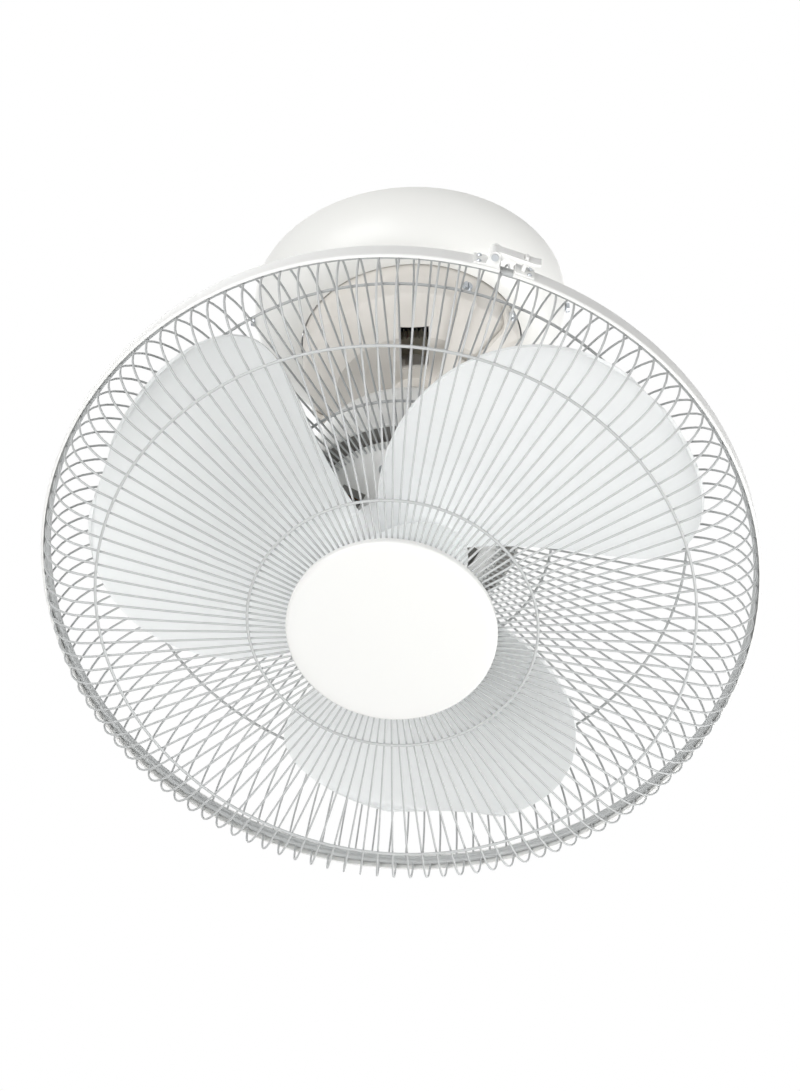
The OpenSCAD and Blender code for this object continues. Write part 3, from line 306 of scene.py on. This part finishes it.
# Sintered bronze, dark with the oil that it holds.
sintered_bronze, tree, shader = new_finish("sintered bronze", "#94733f", 0.48, 1.0)
pores = grain(tree, 0.5 * MM, 3.0)
ripple(tree, shader, pores.outputs[0], 0.04 * MM)
shade_between(tree, shader.inputs["Base Color"], pores.outputs[0], "#7c5f33", "#a5824b")

# %% The motor's iron and copper
LEAN = math.radians(20)
FRONT = Vector((0, -math.sin(LEAN), -math.cos(LEAN)))  # along the head's axis, out of the front


def bands(tree, pitch, direction):
    """Stripes of the given pitch in metres across the direction."""
    place = add(tree, "ShaderNodeTexCoord")
    along = add(tree, "ShaderNodeVectorMath", {"operation": "DOT_PRODUCT"},
                i0=place.outputs["Object"], i1=tuple(direction))
    turns = add(tree, "ShaderNodeMath", {"operation": "MULTIPLY"},
                i0=along.outputs["Value"], i1=TAU / pitch)
    wave = add(tree, "ShaderNodeMath", {"operation": "SINE"}, i0=turns.outputs[0])
    return add(tree, "ShaderNodeMapRange", None, Value=wave.outputs[0], From_Min=-1.0)


# Varnished edges of stacked 0.5 mm sheet, drawn 1 mm apart so that they show.
lamination, tree, shader = new_finish("varnished lamination edges", "#55565a", 0.45, 1.0)
sheets = bands(tree, 1.0 * MM, FRONT)
ripple(tree, shader, sheets.outputs[0], 0.05 * MM)
shade_between(tree, shader.inputs["Base Color"], sheets.outputs[0], "#3d3e41", "#6c6d71")

# Enamelled copper, wound round the ring and dipped in varnish: the varnish gives it a glossy coat.
copper_coil, tree, shader = new_finish("varnished copper winding", "#9a5326", 0.35, 1.0,
                                       Coat_Weight=0.6, Coat_Roughness=0.15)
turns_of_wire = bands(tree, 0.9 * MM, FRONT)
ripple(tree, shader, turns_of_wire.outputs[0], 0.15 * MM)
shade_between(tree, shader.inputs["Base Color"], turns_of_wire.outputs[0], "#6e3716", "#b0652f")
print("materials so far:", len(bpy.data.materials))

# %% [markdown]
# ## Pieces that stay as CAD made them
#
# Most of the inner pieces are turned, bored or cut shapes with crisp edges, which the CAD mesh already has.
# They could be built again with rounder edges, but no one sees them from nearby, so they only get their
# finish. Each material slot of the record gets one finish here.

# %% Finishes for the CAD nodes
FINISH_OF_SLOT = {
    "shell_white": enamel_white, "cage_white": powder_white, "wire_grey": wire_powder_painted_shade,
    "case_grey": casting_paint, "casting": cast_aluminium, "zinc_steel": zinc_plate,
    "ground_steel": ground_steel, "lamination": lamination, "copper_winding": copper_coil,
    "bronze": sintered_bronze, "blade_white": blade_plastic, "nylon": natural_nylon,
    "cap_white": cap_plastic, "film_white": capacitor_case,
}
slot_of = {part["node"]: part["material_slot"] for part in frame["record"]["subparts"]}
body_of = {node: body for body, members in frame["record"]["behaviour"]["bodies"].items()
           for node in members}
for name, node in nodes.items():
    node.data.materials.clear()
    node.data.materials.append(FINISH_OF_SLOT[slot_of[name]])
print("dressed", len(nodes), "CAD nodes in", len(FINISH_OF_SLOT), "finishes")

# %% [markdown]
# ## Making pieces in the cage's frame
#
# The cage, the blades and the motor are turned and bent shapes about one leaning axis. They could be made
# where they stand, with every point worked out in the leaning frame. It is simpler to make them upright,
# with the rim of the cage at height zero and the front of the fan upward, and then to swing them into place
# with one matrix. The swing goes into the mesh, so each object stays at the origin.

# %% Placing and finishing a mesh
PIVOT_DROP, PIVOT_TO_RIM = 0.145, 0.180  # metres from ceiling to knuckle, and from there to the rim
TO_HEAD = (Matrix.Translation((0, 0, -PIVOT_DROP)) @ Matrix.Rotation(-LEAN, 4, "X")
           @ Matrix.Rotation(math.pi, 4, "X") @ Matrix.Translation((0, 0, PIVOT_TO_RIM)))


def make_piece(name, shape, finish, stands_for, place=None, sharp=35):
    """Turns the bmesh shape into an object that stands for CAD nodes and rides on their body.

    Faces that meet at more than sharp degrees keep a crisp edge, and the rest shade smoothly."""
    if place is not None:
        bmesh.ops.transform(shape, matrix=place, verts=shape.verts)
    mesh = bpy.data.meshes.new(name)
    shape.to_mesh(mesh)
    shape.free()
    mesh.shade_smooth()
    mesh.set_sharp_from_angle(angle=math.radians(sharp))
    mesh.materials.append(finish)
    piece = bpy.data.objects.new(name, mesh)
    bpy.context.scene.collection.objects.link(piece)
    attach(piece, body_of[stands_for[0]])
    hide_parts(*stands_for)
    return piece


# %% Turning a profile
WELD = 0.001 * MM  # points nearer to each other than this become one


def turned(profile, steps=160, angle=TAU, start=0.0):
    """A bmesh turned about +Z from a closed profile of (radius, height) points in millimetres."""
    shape = bmesh.new()
    dots = [shape.verts.new((r * MM * math.cos(start), r * MM * math.sin(start), z * MM))
            for r, z in profile]
    edges = [shape.edges.new((a, b)) for a, b in zip(dots, dots[1:] + dots[:1])]
    whole = abs(angle - TAU) < 1e-6
    bmesh.ops.spin(shape, geom=dots + edges, cent=(0, 0, 0), axis=(0, 0, 1), angle=angle,
                   steps=steps, use_merge=whole)
    if not whole:
        bmesh.ops.holes_fill(shape, edges=[e for e in shape.edges if e.is_boundary], sides=0)
    bmesh.ops.remove_doubles(shape, verts=shape.verts, dist=WELD)
    bmesh.ops.recalc_face_normals(shape, faces=shape.faces)
    return shape


def on_circle(centre, radius, angle):
    """The point (radius, height) at angle degrees on a circle in a plane through the axis."""
    a = math.radians(angle)
    return centre[0] + radius * math.cos(a), centre[1] + radius * math.sin(a)


def arc(centre, radius, start, end, steps):
    """Points (radius, height) in millimetres along an arc, with angles in degrees."""
    return [on_circle(centre, radius, start + (end - start) * i / steps) for i in range(steps + 1)]

# %% [markdown]
# ## The wires of the cage
#
# Each wire leaves the middle of the cage, runs straight out, turns one bend at the shoulder and meets the
# rim. On the real fan it is one length of drawn wire, bent in a jig and spot-welded. A curve with a bevel
# could draw it too, but a mesh keeps the count of faces in hand. So a six-sided ring of points is pushed
# along the straight, spun round the bend and pushed on to the rim, and the finished wire is copied round
# the axis. One wire has only a few dozen faces, because there are 240.

# %% Sizes of the cage
WIRE, WIRES, WIRE_SIDES, BEND_STEPS = 1.4, 120, 6, 7
RIM_R, RIM_WIRE, RIM_GAP = 220.6, 3.5, 0.1  # radius and thickness of the two rim wires, and their gap
RIM_MID = -5.25  # height halfway between the two rim wires
RIM_STEP = (RIM_WIRE + RIM_GAP) / 2
WELD_DEPTH = 0.2  # how far a wire's end sinks into its rim wire
print("wires", round(TAU * RIM_R / WIRES, 1), "mm apart at the rim")


# %% One bent wire
def bend_end(rim, centre, radius, side):
    """The bend's last angle, in degrees, so that the wire leaves it straight toward the rim."""
    dx, dz = rim[0] - centre[0], rim[1] - centre[1]
    tangent = math.degrees(math.acos(radius / math.hypot(dx, dz)))
    return math.degrees(math.atan2(dz, dx)) + side * tangent


def pushed(shape, ring, step):
    """Extrudes a loop of edges by step and gives the new loop."""
    new = bmesh.ops.extrude_edge_only(shape, edges=ring)["geom"]
    bmesh.ops.translate(shape, vec=step, verts=[g for g in new if isinstance(g, bmesh.types.BMVert)])
    return [g for g in new if isinstance(g, bmesh.types.BMEdge) and g.is_boundary]


def one_wire(centre, radius, slope, side, start_r, rim):
    """A wire along +X: slope is the face's fall in degrees, side 1 the front and -1 the rear."""
    first, last = side * (90 - slope), bend_end(rim, centre, radius, side)
    bend_x, bend_z = on_circle(centre, radius, first)
    start_z = bend_z + side * (bend_x - start_r) * math.tan(math.radians(slope))
    along = Vector((bend_x - start_r, 0, bend_z - start_z))

    shape = bmesh.new()
    bmesh.ops.create_circle(shape, segments=WIRE_SIDES, radius=WIRE / 2 * MM, cap_ends=False)
    bmesh.ops.rotate(shape, cent=(0, 0, 0), matrix=along.to_track_quat("Z", "Y").to_matrix(),
                     verts=shape.verts)
    bmesh.ops.translate(shape, vec=(start_r * MM, 0, start_z * MM), verts=shape.verts)
    ring = pushed(shape, shape.edges[:], along * MM)
    spun = bmesh.ops.spin(shape, geom=ring + list({v for e in ring for v in e.verts}),
                          cent=(centre[0] * MM, 0, centre[1] * MM), axis=(0, 1, 0),
                          angle=math.radians(first - last), steps=BEND_STEPS)["geom_last"]
    ring = [g for g in spun if isinstance(g, bmesh.types.BMEdge)]

    end_x, end_z = on_circle(centre, radius, last)
    to_rim = Vector((rim[0], 0, rim[1])) - Vector((end_x, 0, end_z))
    out = Vector((side * math.sin(math.radians(last)), 0, -side * math.cos(math.radians(last))))
    pushed(shape, ring, out * (to_rim.length - RIM_WIRE / 2 + WELD_DEPTH) * MM)
    bmesh.ops.holes_fill(shape, edges=[e for e in shape.edges if e.is_boundary], sides=0)
    bmesh.ops.recalc_face_normals(shape, faces=shape.faces)
    print("one wire:", len(shape.faces), "faces, bend from", round(first, 1), "to", round(last, 1))
    return shape


# %% Copies round the axis
def copied_round(shape, count):
    """Copies a bmesh round +Z until there are count of it."""
    bmesh.ops.spin(shape, geom=shape.verts[:] + shape.edges[:] + shape.faces[:], cent=(0, 0, 0),
                   axis=(0, 0, 1), angle=TAU * (count - 1) / count, steps=count - 1,
                   use_duplicate=True)


def turn_about_z(shape, angle):
    """Turns a bmesh about +Z by angle, in radians."""
    bmesh.ops.rotate(shape, cent=(0, 0, 0), matrix=Matrix.Rotation(angle, 3, "Z"), verts=shape.verts)


# %% Both halves
# The rear wires stand between the front ones, which gives the cage its crossing pattern.
front_set = one_wire(centre=(190, 2.43), radius=30, slope=5.8, side=1, start_r=56,
                     rim=(RIM_R, RIM_MID + RIM_STEP))
rear_set = one_wire(centre=(177, -11.87), radius=42, slope=8.9, side=-1, start_r=60,
                    rim=(RIM_R, RIM_MID - RIM_STEP))
turn_about_z(rear_set, TAU / WIRES / 2)
copied_round(front_set, WIRES)
copied_round(rear_set, WIRES)
front_wires = make_piece("front_wires", front_set, wire_powder_painted_shade, ["front_cage_wires"], TO_HEAD, 70)
rear_wires = make_piece("rear_wires", rear_set, wire_powder_painted_shade, ["rear_cage_wires"], TO_HEAD, 70)
print("wires:", len(front_wires.data.polygons) + len(rear_wires.data.polygons), "faces")

# %% [markdown]
# ## The blades
#
# A fan blade is moulded thin and even, with a twist, a lean back and a hollow between its edges. It could
# be sculpted or lofted from a few sections, but a formula keeps all three alike and easy to change. A flat
# grid is mapped onto that form, one way along the radius and the other way round the axis. Solidify then
# gives it a wall, and a bevel rounds the edge as the mould does.

# %% Sizes of the blades
BLADES, BLADE_R, HUB_R, BLADE_Z = 3, 195.5, 42.0, -15.0  # count, tip radius, hub radius, height
# Each edge's widest angle from the blade's own line, and two powers that draw it in toward the tip. The
# leading edge is a full curve, and the trailing edge runs nearly straight to a rounder corner.
LEADING, TRAILING = (40.0, 1.85, 0.36), (54.0, 5.5, 0.23)
SWEEP, FIRST_AT = 0.127, 47.0  # degrees back per millimetre, and where the first blade stands
ROOT_PITCH, TIP_PITCH = 0.44, 0.66  # rise in millimetres per degree round the axis
CAMBER = 6.0  # depth of the hollow between the edges
# The root starts inside the hub, and the tip and the face stay just inside the CAD blade's.
ROOT_SINK, TIP_TRIM, FACE_SINK = 1.5, 0.9985, 0.15
BLADE_WALL, EDGE_ROUND = 2.0, 0.7  # thickness, and width of the bevel round the edge
print("blades:", BLADES, "of", BLADE_R, "mm radius")


# %% The blade's surface
def edge_angle(edge, r):
    """Degrees between the blade's line and one of its edges at radius r."""
    widest, inner, outer = edge
    return widest * (1 - (r / BLADE_R) ** inner) ** outer


def blade_point(u, v):
    """A point in millimetres: u runs 0 to 1 from hub to tip, v -1 to 1 from the rear edge to the front."""
    r = HUB_R - ROOT_SINK + (BLADE_R * TIP_TRIM - HUB_R + ROOT_SINK) * math.sin(math.pi / 2 * u)
    v = math.sin(math.pi / 2 * v)
    lead, trail = edge_angle(LEADING, r), edge_angle(TRAILING, r)
    off = (lead * (1 + v) - trail * (1 - v)) / 2
    pitch = ROOT_PITCH + (TIP_PITCH - ROOT_PITCH) * (r - HUB_R) / (BLADE_R - HUB_R)
    angle = math.radians(-SWEEP * (r - HUB_R) + off)
    fill = min(1, (r - HUB_R + 20) / 60)  # a third of the hollow at the hub, all of it 40 mm further out
    height = BLADE_Z + pitch * off - CAMBER * fill * (1 - v * v)
    return Vector((r * math.cos(angle), r * math.sin(angle), height - FACE_SINK))


blade_set = bmesh.new()
bmesh.ops.create_grid(blade_set, x_segments=40, y_segments=34, size=0.5)
for dot in blade_set.verts:
    dot.co = blade_point(dot.co.x + 0.5, dot.co.y * 2) * MM
turn_about_z(blade_set, math.radians(FIRST_AT))
bmesh.ops.recalc_face_normals(blade_set, faces=blade_set.faces)
if sum(face.normal.z for face in blade_set.faces) < 0:
    bmesh.ops.reverse_faces(blade_set, faces=blade_set.faces)
copied_round(blade_set, BLADES)
blades = make_piece("fan_blades", blade_set, blade_plastic, ["blades"], TO_HEAD, 60)
wall = blades.modifiers.new("moulded wall", "SOLIDIFY")
wall.thickness, wall.offset = BLADE_WALL * MM, -1
rounding = blades.modifiers.new("mould radius", "BEVEL")
rounding.width, rounding.segments, rounding.limit_method = EDGE_ROUND * MM, 3, "ANGLE"
rounding.angle_limit = math.radians(60)
print("blades:", len(blades.data.polygons), "faces before the wall")

# %% [markdown]
# ## The hub
#
# The hub is moulded with the blades, as a cup that is open at the back. Behind its face it has a boss on
# six ribs, and two jaws on the boss hold the shaft's cross pin. A designer would cut the jaws and fuse the
# ribs, but a fused mesh gets long thin faces that shade badly. So cup, jaws and ribs stay whole here, each
# turned or drawn by itself, and only reach into each other.

# %% Small helpers for the hub
def join(shape, other):
    """Adds the bmesh other to shape and frees it."""
    mesh = bpy.data.meshes.new("passing")
    other.to_mesh(mesh)
    other.free()
    shape.from_mesh(mesh)
    bpy.data.meshes.remove(mesh)


def block(low, high):
    """A bmesh box between two corners in millimetres."""
    shape = bmesh.new()
    bmesh.ops.create_cube(shape, size=1)
    size = [(b - a) * MM for a, b in zip(low, high)]
    bmesh.ops.scale(shape, vec=size, verts=shape.verts)
    bmesh.ops.translate(shape, vec=[(a + b) / 2 * MM for a, b in zip(low, high)], verts=shape.verts)
    return shape


# %% The hub
HUB_BACK, HUB_FRONT, SHAFT_R, BOSS_R = -40.5, 6.5, 5.05, 11.0  # heights of its ends, radii of its middle
CUP_WALL, FRONT_ROUND, INNER_ROUND, BACK_ROUND = 2.5, 4, 2, 1
JAW, JAW_ARC = 4.3, math.radians(124)
RIBS, RIB, RIB_BACK = 6, 2.0, HUB_BACK + 12
RIB_END, RIB_TOP = HUB_R - CUP_WALL + 0.3, HUB_FRONT - 2  # both just inside the cup's wall

inner_top = HUB_FRONT - CUP_WALL - INNER_ROUND
cup = [(SHAFT_R, HUB_BACK + JAW), (BOSS_R, HUB_BACK + JAW), (BOSS_R, inner_top)]
cup += arc((BOSS_R + INNER_ROUND, inner_top), INNER_ROUND, 180, 90, 4)
cup += arc((HUB_R - CUP_WALL - INNER_ROUND, inner_top), INNER_ROUND, 90, 0, 4)
cup += [(HUB_R - CUP_WALL, HUB_BACK), (HUB_R - BACK_ROUND, HUB_BACK)]
cup += arc((HUB_R - BACK_ROUND, HUB_BACK + BACK_ROUND), BACK_ROUND, -90, 0, 3)
cup += arc((HUB_R - FRONT_ROUND, HUB_FRONT - FRONT_ROUND), FRONT_ROUND, 0, 90, 8)
cup += [(SHAFT_R, HUB_FRONT)]
hub_shape = turned(cup, 120)
for middle in (0, math.pi):
    jaw = [(SHAFT_R, HUB_BACK), (BOSS_R, HUB_BACK),
           (BOSS_R, HUB_BACK + JAW), (SHAFT_R, HUB_BACK + JAW)]
    join(hub_shape, turned(jaw, 24, JAW_ARC, middle - JAW_ARC / 2))
for i in range(RIBS):
    rib = block((BOSS_R - 1, -RIB / 2, RIB_BACK), (RIB_END, RIB / 2, RIB_TOP))
    turn_about_z(rib, i * TAU / RIBS)
    join(hub_shape, rib)
hub = make_piece("blade_hub", hub_shape, blade_plastic, ["blades"], TO_HEAD)
print("hub:", len(hub.data.polygons), "faces")

# %% [markdown]
# ## The cap
#
# The cap, the hoop and the canopy are the largest white shapes. Light runs over their edges, so they are
# turned again here with rounder profiles and more steps than the CAD solids have. The cap is a thin moulded
# disc with a soft edge and a slightly crowned face, and a boss behind its middle takes its screw. A lathe
# profile gives the whole of it at once.

# %% The cap
CAP_R, CAP_Z, CAP_EDGE, CAP_WALL = 64.0, 46.95, 5.0, 2.0  # radius, back edge's height, its depth, wall
CAP_ROUND, CAP_HEEL = 2, 0.4  # rounding of the edge in front and behind
CROWN_R, CROWN, CROWN_FOOT, CROWN_STEPS = 61.5, 2.5, 0.25, 12  # the face: radius, rise, rise at its rim
CAP_BOSS_R, CAP_BOSS_END, UNDER_BOSS = 5, CAP_Z - 3.6, 3  # the boss takes the last three points' place
TOP = CAP_Z + CAP_EDGE

shares = [1 - i / CROWN_STEPS for i in range(CROWN_STEPS + 1)]
crown = [(CROWN_R * s, TOP + CROWN_FOOT + (CROWN - CROWN_FOOT) * (1 - s ** 2)) for s in shares]
inside = [(r, z - CAP_WALL) for r, z in reversed(crown[:-UNDER_BOSS])]
cap_profile = [(CAP_R - CAP_WALL, CAP_Z), (CAP_R - CAP_HEEL, CAP_Z), (CAP_R, CAP_Z + CAP_HEEL)]
cap_profile += arc((CAP_R - CAP_ROUND, TOP - CAP_ROUND), CAP_ROUND, 0, 75, 6) + crown
cap_profile += [(0, CAP_BOSS_END), (CAP_BOSS_R, CAP_BOSS_END), (CAP_BOSS_R, TOP + CROWN - CAP_WALL)]
cap_profile += inside
cap = make_piece("cap", turned(cap_profile, 192), cap_plastic, ["front_cap"], TO_HEAD)
print("cap:", len(cap.data.polygons), "faces, radius", CAP_R, "mm")

# %% [markdown]
# ## The hoop
#
# The hoop that clamps the two halves of the cage together is rolled from steel strip, and its edges are
# curled in over the rim wires. It is a ring that is not quite closed, so that the latch can draw it tight.
# A curve could be swept along it, but a profile turned through a little less than a full circle shows the
# curl, and its two cut ends are filled by themselves.

# %% The hoop
HOOP_R, HOOP_T, HOOP_W, SPLIT = 222.5, 1.1, 14.4, 8.0  # inner radius, thickness, width, length of the gap
LATCH_AT = math.radians(56.1)  # the latch's place, measured round the axis
LIP_R, LIP, CURL = RIM_R + 1.2, 1, 1.6  # the curled edges' inner radius, their end's width and their round
low, high, outer = RIM_MID - HOOP_W / 2, RIM_MID + HOOP_W / 2, HOOP_R + HOOP_T
hoop_profile = arc((outer - CURL, low + CURL), CURL, -90, 0, 6)
hoop_profile += arc((outer - CURL, high - CURL), CURL, 0, 90, 6)
hoop_profile += [(LIP_R, high), (LIP_R, high - LIP), (HOOP_R, high - CURL)]
hoop_profile += [(HOOP_R, low + CURL), (LIP_R, low + LIP), (LIP_R, low)]
gap = SPLIT / HOOP_R
hoop = make_piece("hoop", turned(hoop_profile, 240, TAU - gap, LATCH_AT + gap / 2), powder_white,
                  ["clamp_hoop"], TO_HEAD)
print("hoop:", len(hoop.data.polygons), "faces, gap", round(math.degrees(gap), 2), "degrees")

# %% [markdown]
# ## The canopy
#
# The canopy hides the ceiling plate. It is spun from a disc of sheet steel over a wooden or steel form, so
# it is a thin round shell with a small lip where it meets the ceiling. Its outside is a quarter of an
# ellipse, and the same curve one sheet further in gives the inside, so the wall stays even.

# %% The canopy
CANOPY_R, CANOPY_LOW_R, SHEET = 115.0, 80.2, 1.5  # radius at the ceiling and below, and the wall
CANOPY_GAP, CANOPY_LOW = 1.0, -42.5  # gap to the ceiling, and height of the lower edge
CANOPY_H = -CANOPY_LOW - CANOPY_GAP
DOME_STEPS = 36
LIP_ROUND, LIP_TAPER = 0.5, 0.05


def dome(radius, depth):
    """Quarter-round fall from radius at the ceiling to the canopy's lower edge, depth millimetres down."""
    quarter = [math.pi / 2 * i / DOME_STEPS for i in range(DOME_STEPS + 1)]
    return [(CANOPY_LOW_R + (radius - CANOPY_LOW_R) * math.cos(a), -CANOPY_GAP - depth * math.sin(a))
            for a in quarter]


canopy_profile = dome(CANOPY_R, CANOPY_H)[1:]
canopy_profile += reversed(dome(CANOPY_R - SHEET, CANOPY_H - SHEET))
canopy_profile += [(CANOPY_R - LIP_ROUND, -CANOPY_GAP)]
canopy_profile += [(CANOPY_R - LIP_TAPER, -CANOPY_GAP - LIP_ROUND)]
canopy = make_piece("canopy_shell", turned(canopy_profile, 192), enamel_white, ["canopy"])
print("canopy:", len(canopy.data.polygons), "faces")

# %% [markdown]
# ## Softened copies
#
# Cast, pressed and moulded pieces have no knife edges. They could all be modelled again, but their CAD
# meshes already have the right form and lack only the rounding. So where such a piece shows, a copy of its
# mesh is merged, its flat triangles are dissolved into whole faces and its sharp edges get a small bevel.
# Then they catch a line of light as the real ones do.

# %% Softening
CAD_WELD, FLAT = 0.002 * MM, math.radians(0.6)  # points nearer and faces flatter than this become one


def softened(node, radius, sharp=40):
    """A copy of a CAD node whose edges of over sharp degrees are bevelled, radius millimetres wide."""
    shape = bmesh.new()
    shape.from_mesh(nodes[node].data)
    bmesh.ops.remove_doubles(shape, verts=shape.verts, dist=CAD_WELD)
    bmesh.ops.dissolve_limit(shape, angle_limit=FLAT, verts=shape.verts, edges=shape.edges)
    corners = [e for e in shape.edges
               if len(e.link_faces) == 2 and e.calc_face_angle(0) > math.radians(sharp)]
    bmesh.ops.bevel(shape, geom=corners, offset=radius * MM, offset_type="OFFSET", affect="EDGES",
                    segments=2, profile=0.5, material=-1, clamp_overlap=True)
    bmesh.ops.triangulate(shape, faces=shape.faces)
    bmesh.ops.remove_doubles(shape, verts=shape.verts, dist=WELD)
    piece = make_piece(node + "_soft", shape, FINISH_OF_SLOT[slot_of[node]], [node], None, sharp)
    print(node, "softened:", len(corners), "edges,", len(piece.data.polygons), "faces")


# %% Pieces with rounded edges
# The number is the bevel's width in millimetres: thin plate has the least, thick mouldings the most.
for node, radius in {
    "gear_case": 0.6, "motor_cover": 0.4, "head_neck": 0.5, "fork_arm_right": 0.4, "fork_arm_left": 0.4,
    "latch_bracket": 0.2, "latch_catch": 0.2, "latch_lever": 0.25, "spinner_nut": 0.3,
    "rear_cage_plate": 0.2, "run_capacitor": 0.8, "terminal_block": 0.3, "orbit_motor": 0.4,
    "ceiling_plate": 0.2,
}.items():
    softened(node, radius)
